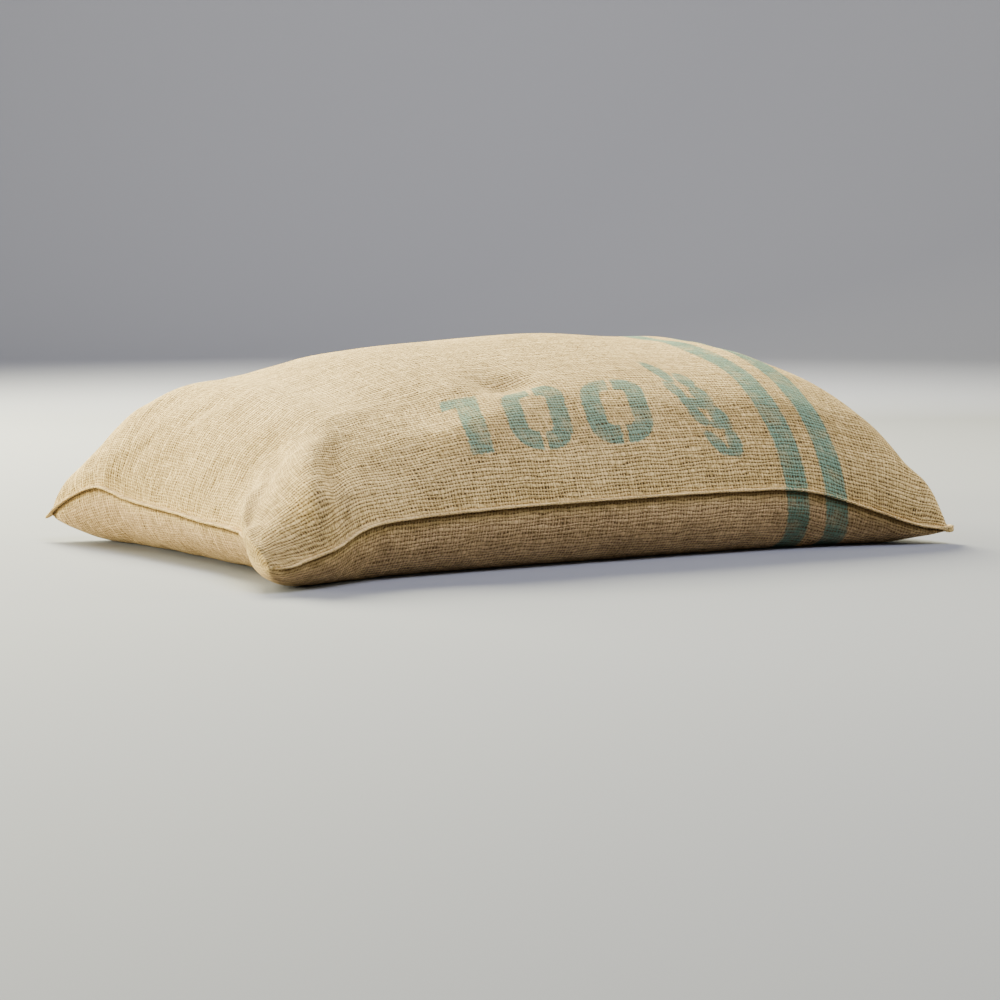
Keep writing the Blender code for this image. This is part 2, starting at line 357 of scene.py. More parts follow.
def add_grid(name, cells_i, cells_j):
    """A flat grid, and each of its points' numbers along and across it."""
    deselect()
    bpy.ops.mesh.primitive_grid_add(x_subdivisions=cells_i, y_subdivisions=cells_j, size=2)
    grid = bpy.context.object
    grid.name = grid.data.name = name
    flat = points_of(grid)
    i = np.rint((flat[:, 0] + 1) / 2 * cells_i).astype(int)
    j = np.rint((flat[:, 1] + 1) / 2 * cells_j).astype(int)
    return grid, i, j


def make_panel(name, shape, is_upper):
    """One panel: a grid laid on its shape, with its measures of cloth and its edge made a seam."""
    panel, i, j = add_grid(name, CELLS_ALONG, CELLS_ACROSS)
    mesh = panel.data
    along = np.sin(np.linspace(-1, 1, CELLS_ALONG + 1) * pi / 2)
    across = np.sin(np.linspace(-1, 1, CELLS_ACROSS + 1) * pi / 2)
    u, v = np.meshgrid(along, across, indexing="ij")
    places = shape(u, v)
    move_points(panel, places[i, j])

    s = run_along(places, 0)
    s -= s[CELLS_ALONG // 2]
    t = run_along(places, 1)
    if is_upper:
        end = np.clip((np.abs(along) - EVEN_UP_FROM) / (1 - EVEN_UP_FROM), 0, 1)[:, None]
        end = end**2 * (3 - 2 * end)
        s += np.where(along[:, None] > 0, HALF_CUT_LENGTH - s[-1], -HALF_CUT_LENGTH - s[0]) * end
        t = (t / t[:, -1:] - 0.5) * CUT_WIDTH
    else:
        t = CUT_WIDTH * 1.5 - t / t[:, -1:] * (CUT_WIDTH - 2 * LOWER_TUCKED) - LOWER_TUCKED

    # How far each point is from the nearest seam, counted below nothing on the lower panel.
    runs = [run_along(places, 0), run_along(places, 1)]
    from_seam = np.min([run - run.take([0], k) for k, run in enumerate(runs)]
                       + [run.take([-1], k) - run for k, run in enumerate(runs)], axis=0)
    signed = (from_seam if is_upper else -from_seam)[i, j].astype(np.float32)
    mesh.attributes.new("from_seam", "FLOAT", "POINT").data.foreach_set("value", signed)

    corners = corners_of(panel)
    i, j = i[corners], j[corners]
    mesh.uv_layers.remove(mesh.uv_layers[0])
    cloth_map = mesh.uv_layers.new(name="cloth")
    cloth_map.data.foreach_set("uv", np.stack([s[i, j], t[i, j]], axis=-1).ravel())
    spread_i = (s - s[0]) / (s[-1] - s[0])
    spread_j = np.abs(t - t[:, :1]) / np.abs(t[:, -1:] - t[:, :1])
    low, high = UPPER_ROWS if is_upper else LOWER_ROWS
    column = SQUARE_MARGIN + (1 - 2 * SQUARE_MARGIN) * spread_i
    square = np.stack([column, low + (high - low) * spread_j], axis=-1)
    mesh.uv_layers.new(name="OFBake").data.foreach_set("uv", square[i, j].ravel())
    mesh.uv_layers.active = cloth_map

    bpy.ops.object.mode_set(mode="EDIT")
    bpy.ops.mesh.select_all(action="SELECT")
    if not is_upper:
        bpy.ops.mesh.flip_normals()
    bpy.ops.mesh.region_to_loop()
    bpy.ops.transform.edge_crease(value=1)
    bpy.ops.mesh.mark_sharp()
    bpy.ops.object.mode_set(mode="OBJECT")
    return panel


upper = make_panel("upper_panel", upper_panel, True)
lower = make_panel("lower_panel", lower_panel, False)
pick(upper, lower)
bpy.ops.object.join()
sack = bpy.context.object
sack.name = sack.data.name = "sack"
bpy.ops.object.mode_set(mode="EDIT")
bpy.ops.mesh.select_all(action="SELECT")
bpy.ops.mesh.remove_doubles(threshold=1e-6)
bpy.ops.object.mode_set(mode="OBJECT")
bpy.ops.object.shade_smooth()

# Beside the horn the seam is tucked in and doesn't show, so the cloth is eased round there, first
# over a wide strip and then over narrower ones.
TUCKED_FROM, TUCKED_TO, TUCKED_STEPS = -0.985, -0.62, 60
HIDDEN_WITHIN = 0.022
HIDDEN_FADES = 0.009
EASED = ((0.036, 10), (0.024, 12), (0.014, 14))  # how far from the seam, and how many rounds
ON_FLOOR = 1e-4
tucked = seam_sheet(np.full(TUCKED_STEPS, -1.0), np.linspace(TUCKED_FROM, TUCKED_TO, TUCKED_STEPS))


def off_tucked(point):
    """How far a point of the sack is from the seam that is tucked in."""
    return np.linalg.norm(tucked - np.array(point.co), axis=1).min()


def seam_points():
    """The numbers of the points on the seam as it is marked now."""
    sharp = (edge for edge in sack.data.edges if edge.use_edge_sharp)
    return sorted({point for edge in sharp for point in edge.vertices})


hidden = sack.data.attributes.new("hidden", "FLOAT", "POINT")
for point in sack.data.vertices:
    shade = (HIDDEN_WITHIN - off_tucked(point)) / HIDDEN_FADES
    hidden.data[point.index].value = np.clip(shade, 0, 1)
rim = seam_points()
rim_drawn = np.array([sack.data.vertices[p].co for p in rim])
for reach, rounds in EASED:
    bpy.ops.object.mode_set(mode="EDIT")
    bpy.ops.mesh.select_all(action="DESELECT")
    bpy.ops.mesh.select_mode(type="VERT")
    bpy.ops.object.mode_set(mode="OBJECT")
    for point in sack.data.vertices:
        point.select = bool(off_tucked(point) < reach and point.co.z > ON_FLOOR)
    bpy.ops.object.mode_set(mode="EDIT")
    bpy.ops.mesh.vertices_smooth(factor=0.5, repeat=rounds)
    bpy.ops.transform.edge_crease(value=-1)
    bpy.ops.mesh.mark_sharp(clear=True)
    bpy.ops.object.mode_set(mode="OBJECT")
shaped = points_of(sack)
rim_moved = shaped[rim] - rim_drawn

# The horn pulls the cloth into a crease on each side of it, sharper than the troughs, and its
# own crest stands up between them.
CREASES = [
    Trough(-0.965, -0.76, -0.85, -0.32, 10, 13),
    Trough(-0.84, -0.91, -0.79, -0.56, -7, 18),
    Trough(-0.785, -0.97, -0.71, -0.60, 8, 11),
]
CREASE_STEPS = 40
standing_out = points_of(sack, "normal")
share = np.linspace(0, 1, CREASE_STEPS)
for row in CREASES:
    line = upper_panel(row.u_from + (row.u_to - row.u_from) * share,
                       row.v_from + (row.v_to - row.v_from) * share)
    away = np.linalg.norm(shaped[:, None] - line[None], axis=-1)
    nearest = share[away.argmin(axis=1)]
    reach = np.exp(-((away.min(axis=1) / (row.half_width * MM)) ** 2)) * (1 - nearest**2)
    shaped -= standing_out * (row.depth * MM * reach)[:, None]

# The sack is set level with the middle of the frame's own sack, and stays on the floor.
low, high = (np.array(corner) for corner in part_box("filled_sack"))
to_frame = (low + high) / 2 - (shaped.min(axis=0) + shaped.max(axis=0)) / 2
to_frame[2] = 0
shaped += to_frame
move_points(sack, shaped)

# The grain presses the cloth outwards. The seams and the cloth on the floor are held still.
PRESSURE = 4
MOST_MOVED = 0.0022
SLACK = -0.006
STRETCH_STIFFNESS = 30
BENDING_STIFFNESS = 0.5
SETTLED_AT = 20
floor_points = np.nonzero(shaped[:, 2] < ON_FLOOR)[0].tolist()
held = sack.vertex_groups.new(name="held")
held.add(seam_points() + floor_points, 1.0, "REPLACE")
grain = sack.modifiers.new("grain", "CLOTH")
grain.settings.vertex_group_mass = "held"
grain.settings.use_pressure = True
grain.settings.uniform_pressure_force = PRESSURE
grain.settings.effector_weights.gravity = 0
grain.settings.shrink_min = SLACK
grain.settings.tension_stiffness = STRETCH_STIFFNESS
grain.settings.compression_stiffness = STRETCH_STIFFNESS
grain.settings.bending_stiffness = BENDING_STIFFNESS
for step in range(1, SETTLED_AT + 1):
    bpy.context.scene.frame_set(step)
pick(sack)
bpy.ops.object.modifier_apply(modifier="grain")
bpy.context.scene.frame_set(1)
# No point is let move by more than the cloth can give, nor through the floor.
moved = points_of(sack) - shaped
far = np.maximum(np.linalg.norm(moved, axis=1, keepdims=True), NEXT_TO_NOTHING)
moved *= MOST_MOVED * np.tanh(far / MOST_MOVED) / far
moved[:, 2] = np.maximum(moved[:, 2], -shaped[:, 2])
move_points(sack, shaped + moved)
sack.vertex_groups.clear()

pick(sack)
finer = sack.modifiers.new("finer", "SUBSURF")
finer.levels = finer.render_levels = 1
bpy.ops.object.modifier_apply(modifier="finer")


# The cloth's look is worked out from its own measure, yarn by yarn.
class Wire:
    """One output of a node, on which sums are written as expressions."""

    def __init__(self, tree, end=None):
        self.tree, self.end = tree, end

    def node(self, kind, settings=None, sockets=None, out=0):
        """Adds a node: its settings first, then the values or links of its sockets."""
        made = self.tree.nodes.new("ShaderNode" + kind)
        for name, value in (settings or {}).items():
            setattr(made, name, value)
        for name, value in (sockets or {}).items():
            if isinstance(value, Wire):
                self.tree.links.new(value.end, made.inputs[name])
            else:
                made.inputs[name].default_value = value
        return Wire(self.tree, made.outputs[out])

    def other(self, out):
        """Another output of the same node."""
        return Wire(self.tree, self.end.node.outputs[out])

    def maths(self, operation, *values):
        return self.node("Math", {"operation": operation}, dict(enumerate(values)))

    def __add__(self, other):
        return self.maths("ADD", self, other)

    def __sub__(self, other):
        return self.maths("SUBTRACT", self, other)

    def __mul__(self, other):
        return self.maths("MULTIPLY", self, other)

    def __truediv__(self, other):
        return self.maths("DIVIDE", self, other)

    def __rsub__(self, other):
        return self.maths("SUBTRACT", other, self)

    __radd__ = __add__
    __rmul__ = __mul__

    def __abs__(self):
        return self.maths("ABSOLUTE", self)

    def most(self, other):
        return self.maths("MAXIMUM", self, other)

    def least(self, other):
        return self.maths("MINIMUM", self, other)

    def root(self):
        return self.maths("SQRT", self)

    def sine(self):
        return self.maths("SINE", self)

    def floor(self):
        return self.maths("FLOOR", self)

    def fraction(self):
        return self.maths("FRACT", self)

    def above(self, limit):
        return self.maths("GREATER_THAN", self, limit)

    def fade(self, start, end):
        """0 at start and 1 at end, whichever is the higher."""
        limits = {"Value": self, "From Min": start, "From Max": end}
        return self.node("MapRange", {"interpolation_type": "SMOOTHSTEP"}, limits)

    def tint(self, first, second, blend="MIX"):
        """The first colour, changed by the second where this value is 1."""
        settings = {"data_type": "RGBA", "blend_type": blend}
        return self.node("Mix", settings, {0: self, 6: first, 7: second}, out=2)

    def noise(self, x, y, detail=1.0):
        """Smooth noise from 0 to 1 at a place given by two values."""
        at = self.node("CombineXYZ", sockets={0: x, 1: y})
        sizes = {"Vector": at, "Scale": 1.0, "Detail": detail}
        return self.node("TexNoise", {"noise_dimensions": "2D"}, sizes)

    def chance(self, number):
        """A value from 0 to 1 that belongs to a whole number."""
        return self.node("TexWhiteNoise", {"noise_dimensions": "1D"}, {"W": number})

    def into(self, shader, socket):
        self.tree.links.new(self.end, shader.inputs[socket])


# The yarns: their pitch along and across the sack, and their two tones. A yarn's half width is a
# share of its pitch, made up of a least part, a part of its own, slubs and lumps.
YARN_PITCH_S = 0.0039
YARN_PITCH_T = 0.0042
YARN_LIGHT = (0.86, 0.617, 0.252, 1)
YARN_DARK = (0.40, 0.274, 0.098, 1)
END_THIN, END_UNEVEN = 0.09, 0.20
PICK_THIN, PICK_UNEVEN = 0.17, 0.32
OWN_WIDTH, SLUB_WIDTH, LUMP_WIDTH = 0.06, 0.12, 0.26
SLUBS_A_METRE, LUMPS_A_METRE, FIBRES_A_METRE = 30.0, 130.0, 210.0
FIBRES_A_YARN = 4.0
FIBRE_TONE, SLUB_TONE = 1.3, 0.30
YARN_STEP = 7.31, 5.17, 0.37  # these set one yarn's slubs, lumps and tone apart from the next one's


def yarn(maker, count, along, thin, uneven):
    """One set of yarns: how high the round of the yarn stands at a place, and its tone."""
    number = count.floor()
    slub = maker.noise(number * YARN_STEP[0], along * SLUBS_A_METRE)
    lump = maker.noise(number * YARN_STEP[1], along * LUMPS_A_METRE)
    half_width = thin + OWN_WIDTH * maker.chance(number) + SLUB_WIDTH * slub + LUMP_WIDTH * lump
    off_centre = abs(count.fraction() - 0.5) / half_width
    height = (1 - off_centre * off_centre).most(0.0).root()
    fibre = maker.noise(count * FIBRES_A_YARN, along * FIBRES_A_METRE, 2.0)
    tone = uneven * (maker.chance(number + YARN_STEP[2]) - 0.5)
    return height, tone + FIBRE_TONE * fibre + SLUB_TONE * (slub - 1)


# The two stripes, as their edges along the cloth, and how far they lie askew on each panel.
STRIPES = [(0.2234, 0.2535), (0.2765, 0.3062)]
STRIPE_EDGE = 0.0017
STRIPE_LEAN = 0.038
STRIPE_TURN = -0.206
LEAN_BELOW = 0.22
MOST_BELOW = -0.06

# The numerals, cut as stencils: a one with a flag, and two noughts with a bridge across each.
NUMERAL_FOOT = -0.270
NUMERAL_HEIGHT = 0.106
NUMERAL_LEAN = 0.16
NUMERAL_EDGE = 0.0012
STROKE = 0.024
ONE_LEFT, ONE_RIGHT = -0.163, -0.136
FLAG_LEFT, FLAG_HEIGHT = -0.181, 0.021
NOUGHT_LEFTS = (-0.109, -0.007)
NOUGHT_WIDTH = 0.082
NOUGHT_ROUNDING = 0.8
BRIDGE_EDGES = (0.0045, 0.0025)

# The ear of wheat: the two ends of each kernel on the cloth, and its half width.
KERNELS = [
    (0.124, -0.115, 0.134, -0.178, 0.0092),
    (0.123, -0.172, 0.137, -0.212, 0.0084),
    (0.131, -0.202, 0.144, -0.236, 0.0082),
    (0.134, -0.226, 0.149, -0.253, 0.0088),
    (0.140, -0.260, 0.160, -0.291, 0.0082),
    (0.148, -0.151, 0.157, -0.189, 0.0104),
    (0.155, -0.184, 0.166, -0.226, 0.0114),
    (0.164, -0.221, 0.174, -0.260, 0.0114),
    (0.173, -0.256, 0.174, -0.294, 0.0094),
    (0.142, -0.211, 0.159, -0.228, 0.0070),
    (0.151, -0.250, 0.171, -0.252, 0.0068),
    (0.154, -0.286, 0.177, -0.288, 0.0052),
]
KERNEL_EDGES = (1.28, 0.66)
MARKS_STRENGTH = 0.95


def box_mask(x, y, x_low, x_high, y_low, y_high):
    """1 inside a rectangle of the cloth, with a soft edge."""
    from_x = abs(x - (x_low + x_high) / 2) - (x_high - x_low) / 2
    from_y = abs(y - (y_low + y_high) / 2) - (y_high - y_low) / 2
    return from_x.most(from_y).fade(NUMERAL_EDGE, -NUMERAL_EDGE)


def ring_mask(x, y, x_low, x_high, y_low, y_high):
    """1 on a numeral nought: a tall rounded ring of the stroke's width."""
    half_x, half_y = (x_high - x_low) / 2, (y_high - y_low) / 2
    corner = half_x * NOUGHT_ROUNDING
    off_x = (abs(x - (x_low + x_high) / 2) - (half_x - corner)).most(0.0)
    off_y = (abs(y - (y_low + y_high) / 2) - (half_y - corner)).most(0.0)
    off = (off_x * off_x + off_y * off_y).root() - (corner - STROKE / 2)
    return abs(off).fade(STROKE / 2 + NUMERAL_EDGE, STROKE / 2 - NUMERAL_EDGE)


def kernel_mask(s, t, s_from, t_from, s_to, t_to, half_width):
    """1 on one kernel: an oval between two places on the cloth."""
    run_s, run_t = (s_to - s_from) / 2, (t_to - t_from) / 2
    half_length = (run_s**2 + run_t**2) ** 0.5
    off_s, off_t = s - (s_from + s_to) / 2, t - (t_from + t_to) / 2
    along = (off_s * run_s + off_t * run_t) / half_length**2
    aside = (off_s * run_t - off_t * run_s) / (half_length * half_width)
    return (along * along + aside * aside).fade(*KERNEL_EDGES)


def print_mask(s, t, below):
    """Where the cloth is printed. The stripes lie a little askew, each panel's in its own way."""
    across = t.least(CUT_WIDTH - t)
    askew = s + STRIPE_LEAN * (across - STRIPE_TURN) + LEAN_BELOW * below
    stripes = []
    for low, high in STRIPES:
        middle, half = (low + high) / 2, (high - low) / 2
        stripes.append(abs(askew - middle).fade(half + STRIPE_EDGE, half - STRIPE_EDGE))
    foot, head = NUMERAL_FOOT, NUMERAL_FOOT + NUMERAL_HEIGHT
    upright = s - (t - foot) * NUMERAL_LEAN
    marks = box_mask(upright, t, ONE_LEFT, ONE_RIGHT, foot, head)
    marks = marks.most(box_mask(upright, t, FLAG_LEFT, ONE_RIGHT, head - FLAG_HEIGHT, head))
    for left in NOUGHT_LEFTS:
        nought = ring_mask(upright, t, left, left + NOUGHT_WIDTH, foot, head)
        bridge = abs(upright - (left + NOUGHT_WIDTH / 2)).fade(*BRIDGE_EDGES)
        marks = marks.most(nought * (1 - bridge))
    for kernel in KERNELS:
        marks = marks.most(kernel_mask(s, t, *kernel))
    return stripes[0].most(stripes[1]).most(MARKS_STRENGTH * marks)


def new_material(name, roughness, shine):
    """A plain material, its shader, and a wire to start its nodes from."""
    material = bpy.data.materials.new(name)
    material.use_nodes = True
    shader = material.node_tree.nodes["Principled BSDF"]
    shader.inputs["Roughness"].default_value = roughness
    shader.inputs["Specular IOR Level"].default_value = shine
    return material, shader, Wire(material.node_tree)


# The weave. The yarns wander and kink, and crowd together towards the left end. A pair with a
# name in _NOISE says how many times a noise changes to the metre, along and across the sack.
JUTE_ROUGHNESS, JUTE_SHINE = 0.92, 0.05
YARNS_WANDER, ENDS_NOISE, PICKS_NOISE = 0.0050, (7.0, 9.0), (8.0, 7.0)
CROWDED_FROM, CROWDED_BY = -0.33, 0.22
ENDS_KINK, END_KINKS_A_METRE = 1.1, 38.0
PICKS_KINK, PICK_KINKS_A_METRE = 1.3, 30.0
KINKS_A_YARN = 0.5
FIRST_PICK = 400.0  # so that no pick is like an end
END_HEIGHT, END_RISE = 0.55, 0.40
PICK_HEIGHT, PICK_RISE = 0.70, 0.34
PATCH_TONE, PATCH_NOISE = 0.7, (5.0, 6.0)
MOTTLE_TONE, MOTTLE_NOISE = 0.9, (90.0, 150.0)
TONE_EDGES = (-0.05, 1.05)
HUE_CHANGE, HUE_NOISE, HUE_EDGES = (1.025, 0.99, 1.04, 1), (330.0, 420.0), (0.35, 0.65)
# The print wets the tops of the yarns, and is ragged at its edges and worn.
INK = (0.145, 0.266, 0.190, 1)
INK_RAGGED, RAGGED_NOISE = 0.0038, (260.0, 260.0)
INK_LEAST, INK_MORE, WORN_NOISE, WORN_EDGES = 0.62, 0.30, (40.0, 40.0), (0.72, 0.42)
INKED_ABOVE = (0.04, 0.42)
# Between the yarns the cloth is in painted shade, and in the gaps one sees into the sack, painted
# dark as the shade inside it.
YARN_SHADE, SHADE_EDGES = (0.22, 0.17, 0.13, 1), (0.88, 0.12)
GAP, GAP_EDGES, GAP_LEAST = (0.035, 0.020, 0.009, 1), (0.32, 0.06), 0.56
GAP_STEP = (0.137, 1.731)
# Along the seam two layers close the gaps. The lower panel is greyer, and darker with painted
# shade: a painted shadow just under the lip, and painted shade over the rest of it.
AT_SEAM = 0.0004
DOUBLED_EDGES = (0.0035, 0.0012)
DOUBLED_CLOSES, LOWER_CLOSES = 0.8, 0.35
LOWER_GREY, GREY_EDGES = (0.98, 0.945, 1.12, 1), (0.0, -0.02)
# the colour of the painted shade below the seam
PAINTED_SHADE = (0.21, 0.175, 0.14, 1)
LIP_SHADOW, LIP_SHADOW_EDGES = 0.95, (-0.0085, -0.0035)
UNDERSIDE_SHADE, UNDERSIDE_SHADE_EDGES = 0.17, (0.0, -0.03)
# The hairs on the yarn, and how far the yarns stand up.
FUZZ, FUZZ_NOISE = 0.15, (900.0, 900.0)
WEAVE_DEPTH, WEAVE_STRENGTH = 0.0011, 0.75
SHEEN, SHEEN_ROUGHNESS, SHEEN_COLOUR = 0.04, 0.5, (1.0, 0.92, 0.80, 1)


def burlap(name, seamed=False, thin=0.0, paler=0.0):
    """Jute cloth, woven yarn by yarn from the cloth's own measure, with its print."""
    material, shader, maker = new_material(name, JUTE_ROUGHNESS, JUTE_SHINE)
    split = maker.node("SeparateXYZ", sockets={0: maker.node("UVMap", {"uv_map": "cloth"})})
    s, t = split, split.other(1)

    def noise(a_metre, detail=1.0, shift=0.0):
        """Noise over the cloth, shifted along so that no two are alike."""
        x = s * a_metre[0] + shift if shift else s * a_metre[0]
        return maker.noise(x, t * a_metre[1], detail)

    # The ends run across the sack and the picks along it. Each is counted as it is met.
    wander_s = s + YARNS_WANDER * (noise(ENDS_NOISE) - 0.5)
    wander_t = t + YARNS_WANDER * (noise(PICKS_NOISE, shift=31.0) - 0.5)
    crowded = CROWDED_BY * (s - CROWDED_FROM).least(0.0)
    ends = (wander_s + crowded) / YARN_PITCH_S
    ends = ends + ENDS_KINK * maker.noise(ends * KINKS_A_YARN, t * END_KINKS_A_METRE)
    picks = wander_t / YARN_PITCH_T
    kinks = maker.noise(picks * KINKS_A_YARN + 17.0, s * PICK_KINKS_A_METRE)
    picks = picks + PICKS_KINK * kinks
    end_height, end_tone = yarn(maker, ends, t, thin + END_THIN, END_UNEVEN)
    pick_height, pick_tone = yarn(maker, picks + FIRST_PICK, s, thin + PICK_THIN, PICK_UNEVEN)

    # Where an end goes over a pick it stands higher, and at the next crossing the pick does.
    over = (ends * pi).sine() * (picks * pi).sine()
    end_top = end_height * (END_HEIGHT + END_RISE * over)
    pick_top = pick_height * (PICK_HEIGHT - PICK_RISE * over)
    top = end_top.most(pick_top)
    tone = end_tone + (pick_tone - end_tone) * (pick_top - end_top).above(0.0)

    patch = noise(PATCH_NOISE, 2.0)
    mottle = noise(MOTTLE_NOISE, 2.0, 5.0)
    tone = tone + PATCH_TONE * (patch - 0.5) + MOTTLE_TONE * (mottle - 0.5) + paler
    colour = tone.fade(*TONE_EDGES).tint(YARN_DARK, YARN_LIGHT)
    hue = noise(HUE_NOISE, shift=3.0).fade(*HUE_EDGES)
    colour = hue.tint(colour, HUE_CHANGE, "MULTIPLY")
    below_seam = 0.0
    if seamed:
        from_seam = maker.node("Attribute", {"attribute_name": "from_seam"}, out=2)
        below_seam = from_seam.least(0.0).most(MOST_BELOW)
        colour = from_seam.fade(*GREY_EDGES).tint(colour, LOWER_GREY, "MULTIPLY")

    ragged = INK_RAGGED * (noise(RAGGED_NOISE) - 0.5)
    ink = print_mask(s + ragged, t - ragged, below_seam)
    worn = noise(WORN_NOISE, 3.0, 9.0).fade(*WORN_EDGES)
    ink = ink * (INK_LEAST + INK_MORE * worn) * top.fade(*INKED_ABOVE)
    colour = ink.tint(colour, INK)

    gap_number = (ends + 0.5).floor() * GAP_STEP[0] + (picks + 0.5).floor() * GAP_STEP[1]
    see_in = GAP_LEAST + (1 - GAP_LEAST) * maker.chance(gap_number)
    if seamed:
        shows = 1 - maker.node("Attribute", {"attribute_name": "hidden"}, out=2)
        doubled = from_seam.fade(*DOUBLED_EDGES) * (from_seam - AT_SEAM).above(0.0)
        see_in = see_in * (1 - DOUBLED_CLOSES * doubled * shows)
        see_in = see_in * (1 - LOWER_CLOSES * (0.0 - from_seam).above(0.0))
    in_shade = see_in.root() * top.fade(*SHADE_EDGES)
    colour = in_shade.tint(colour, YARN_SHADE, "MULTIPLY")
    # painted shade: the gaps are painted dark, as the inside of the sack is in shade
    colour = (see_in * top.fade(*GAP_EDGES)).tint(colour, GAP)
    if seamed:
        # a painted shadow on the lower panel, just under the lip
        below = (AT_SEAM - from_seam).above(0.0)
        painted_lip_shadow = LIP_SHADOW * shows * below * from_seam.fade(*LIP_SHADOW_EDGES)
        # painted shade over the lower panel, full from a little below the seam on
        painted_underside_shade = UNDERSIDE_SHADE * from_seam.fade(*UNDERSIDE_SHADE_EDGES)
        colour = painted_lip_shadow.most(painted_underside_shade).tint(colour, PAINTED_SHADE, "MULTIPLY")
    colour.into(shader, "Base Color")

    relief = top + FUZZ * noise(FUZZ_NOISE, 2.0)
    bumps = {"Strength": WEAVE_STRENGTH, "Distance": WEAVE_DEPTH, "Height": relief}
    maker.node("Bump", sockets=bumps).into(shader, "Normal")
    shader.inputs["Sheen Weight"].default_value = SHEEN
    shader.inputs["Sheen Roughness"].default_value = SHEEN_ROUGHNESS
    shader.inputs["Sheen Tint"].default_value = SHEEN_COLOUR
    return material


def dress(piece, material):
    piece.data.materials.clear()
    piece.data.materials.append(material)


dress(sack, burlap("printed_jute", seamed=True))
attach(sack, "root")
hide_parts("filled_sack")

# The lip: the joined edges of the two panels outside the line of sewing, two layers of cloth turned
# in and pressed into one bead. It runs round all the sides but the fold beside the horn.

LIP_WIDTH = 0.0046
LIP_HALF_HEIGHT = 0.0011
LIP_ROOT = -0.0025  # its inner edge lies this deep in the cloth
LIP_DROOP = 0.10
LIP_END = -0.66  # on the left side, at the fold
LIP_START = 0.006
LIP_TAPER = 0.022
LEAST_TAPER, TAPER_POWER = 0.02, 0.7
STATION_SPACING = 0.0025
TURN_OVER = 0.0075  # its direction is the seam's over this much on each side
SEAM_STEPS = 1500
EASED_WITHIN = 0.012
# The section, from the cloth over the top, round the edge and back beneath: shares of the lip's
# width and of half its height.
LIP_SECTION = [
    (0.0, 0.9),
    (0.35, 1.0),
    (0.70, 1.05),
    (0.93, 0.85),
    (1.0, 0.45),
    (0.95, 0.05),
    (0.99, -0.4),
    (0.92, -0.8),
    (0.68, -1.0),
    (0.35, -0.95),
    (0.0, -0.85),
]
# At each corner: how much longer and thicker the lip is there, and how far its edge is lifted.
CornerTab = namedtuple("CornerTab", "u v longer thicker lifted")
CORNER_TABS = [
    CornerTab(1, -1, 0.0016, 2.6, 0.0012),
    CornerTab(1, 1, 0.0024, 2.0, 0.0020),
    CornerTab(-1, 1, 0.0042, 0.5, -0.0042),
]
TAB_SPREAD = 0.0065
# The waves in the lip: how strong, how long and from where; and how far they widen, thicken and
# lift it.
WAVES = [(0.35, 0.037, 0.3), (0.25, 0.021, 1.9), (0.3, 0.083, 4.0), (0.15, 0.0113, 2.2)]
WAVE_WIDENS, WAVE_THICKENS, WAVE_LIFTS = 0.0006, 0.12, 0.0004
LIFT_BEHIND = 9  # stations by which the lift follows the width
LIFT_REACHES = 1.5


def lip_line(spacing):
    """The seam from the front left corner round to the lip's end, at an even spacing: the places on
    the grid and in space, the distance run, and the level direction that points off the sack."""
    side = np.linspace(-1, 1, SEAM_STEPS)
    ones = np.ones_like(side)
    left = -side[-side > LIP_END]
    u = np.concatenate([side, ones, -side, -np.ones_like(left)])
    v = np.concatenate([-ones, side, ones, left])
    seam = seam_sheet(u, v) + to_frame
    run = run_along(seam, 0)
    even = np.linspace(LIP_START, run[-1], int(run[-1] / spacing))
    u, v = np.interp(even, run, u), np.interp(even, run, v)
    seam = np.stack([np.interp(even, run, seam[:, k]) for k in range(3)], axis=-1)
    # Where the cloth was eased round the corner the seam has gone with it.
    off = np.linalg.norm(seam[:, None] - (rim_drawn + to_frame), axis=-1)
    weight = 1 / np.maximum(off, 1e-5) ** 3
    weight[off > off.min(axis=1, keepdims=True) + EASED_WITHIN] = 0
    seam += weight @ rim_moved / weight.sum(axis=1, keepdims=True)
    window = round(TURN_OVER / spacing)
    ahead = np.concatenate([seam[window:], np.repeat(seam[-1:], window, axis=0)])
    behind = np.concatenate([np.repeat(seam[:1], window, axis=0), seam[:-window]])
    tangent = ahead - behind
    out = np.stack([tangent[:, 1], -tangent[:, 0], np.zeros(len(even))], axis=-1)
    return u, v, seam, even, out / np.linalg.norm(out, axis=1, keepdims=True)


def lip_size(u, v, even):
    """How wide the lip is at each place, half its height, and the lift of its edge."""
    wave = sum(tall * np.sin(even / long * 2 * pi + start) for tall, long, start in WAVES)
    reach = LIP_WIDTH + WAVE_WIDENS * wave
    half = LIP_HALF_HEIGHT * (1 + WAVE_THICKENS * wave)
    lift = -LIP_DROOP * reach + WAVE_LIFTS * np.roll(wave, LIFT_BEHIND)
    for tab in CORNER_TABS:
        off = np.hypot((u - tab.u) * SACK_LENGTH, (v - tab.v) * SACK_WIDTH) / 2
        near = np.exp(-((off / TAB_SPREAD) ** 2))
        reach += tab.longer * near
        half *= 1 + tab.thicker * near
        lift += tab.lifted * near
    from_end = np.minimum(even - even[0], even[-1] - even)
    taper = np.clip(from_end / LIP_TAPER, LEAST_TAPER, 1) ** TAPER_POWER
    return reach * taper, half * taper, lift * taper


def swept(name, places):
    """A tube laid round its places, still open along its seam and at both ends, and for each of its
    points its station and its number round the tube."""
    stations, sides = places.shape[:2]
    tube, i, j = add_grid(name, stations - 1, sides)
    j %= sides
    move_points(tube, places[i, j])
    tube.data.uv_layers.remove(tube.data.uv_layers[0])
    return tube, i, j


